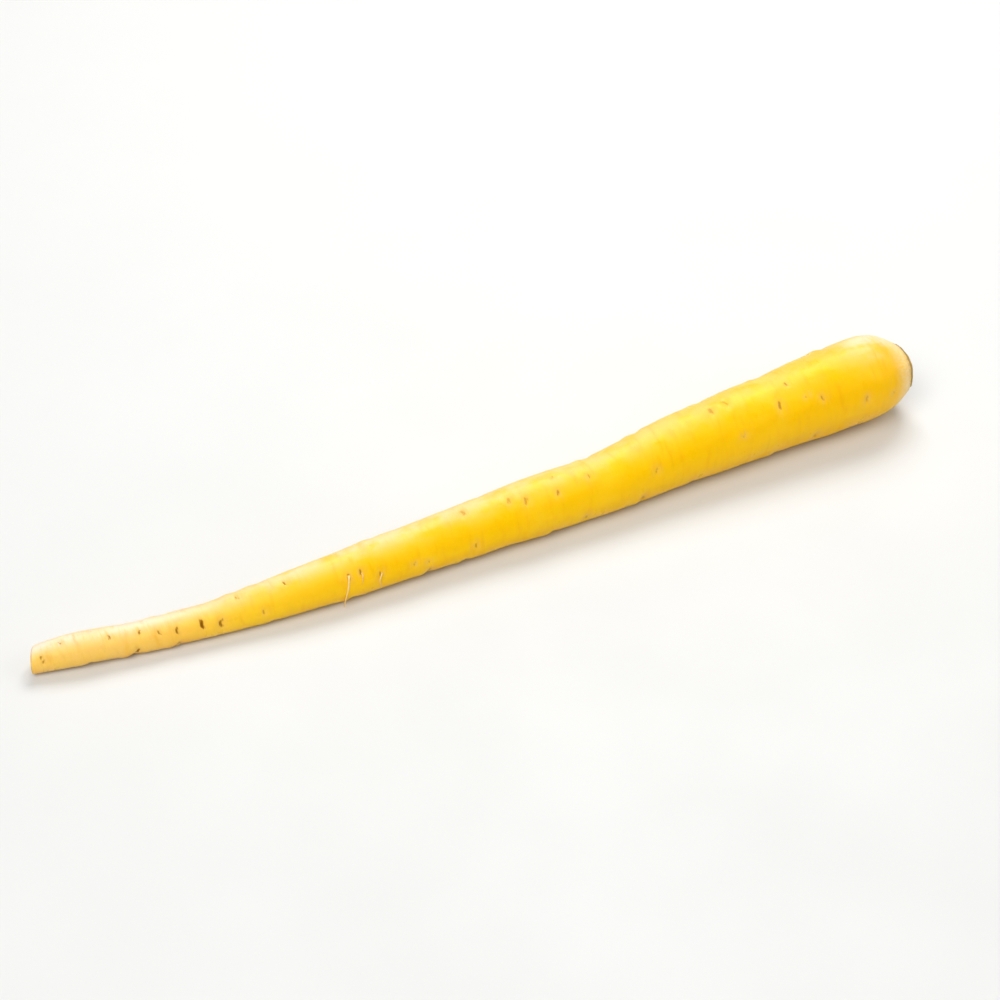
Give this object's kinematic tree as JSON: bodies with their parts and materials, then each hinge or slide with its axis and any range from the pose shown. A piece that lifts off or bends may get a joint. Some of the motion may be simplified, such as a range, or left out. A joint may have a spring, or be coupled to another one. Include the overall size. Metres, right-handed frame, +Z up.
{
  "type": "carrot",
  "caption": "Slim yellow carrot root, tapered and gently bent, with a rounded shoulder, trimmed leaf stubs in the crown and a blunt slanted cut at the tail, lying on its side.",
  "frame": {"origin": "middle of the footprint of the lying carrot, on the surface it lies on", "axes": "+X along the root from the cut tail to the crown, +Y across it, +Z up"},
  "size_m": [0.2394, 0.0245, 0.0223],
  "materials": {
    "root_skin": "satin, moist vegetable skin",
    "leaf_stub": "dull, half-dried leaf stalk"
  },
  "bodies": {
    "root": {"carrot_root": "root_skin", "leaf_stubs": "leaf_stub"}
  },
  "joints": []
}
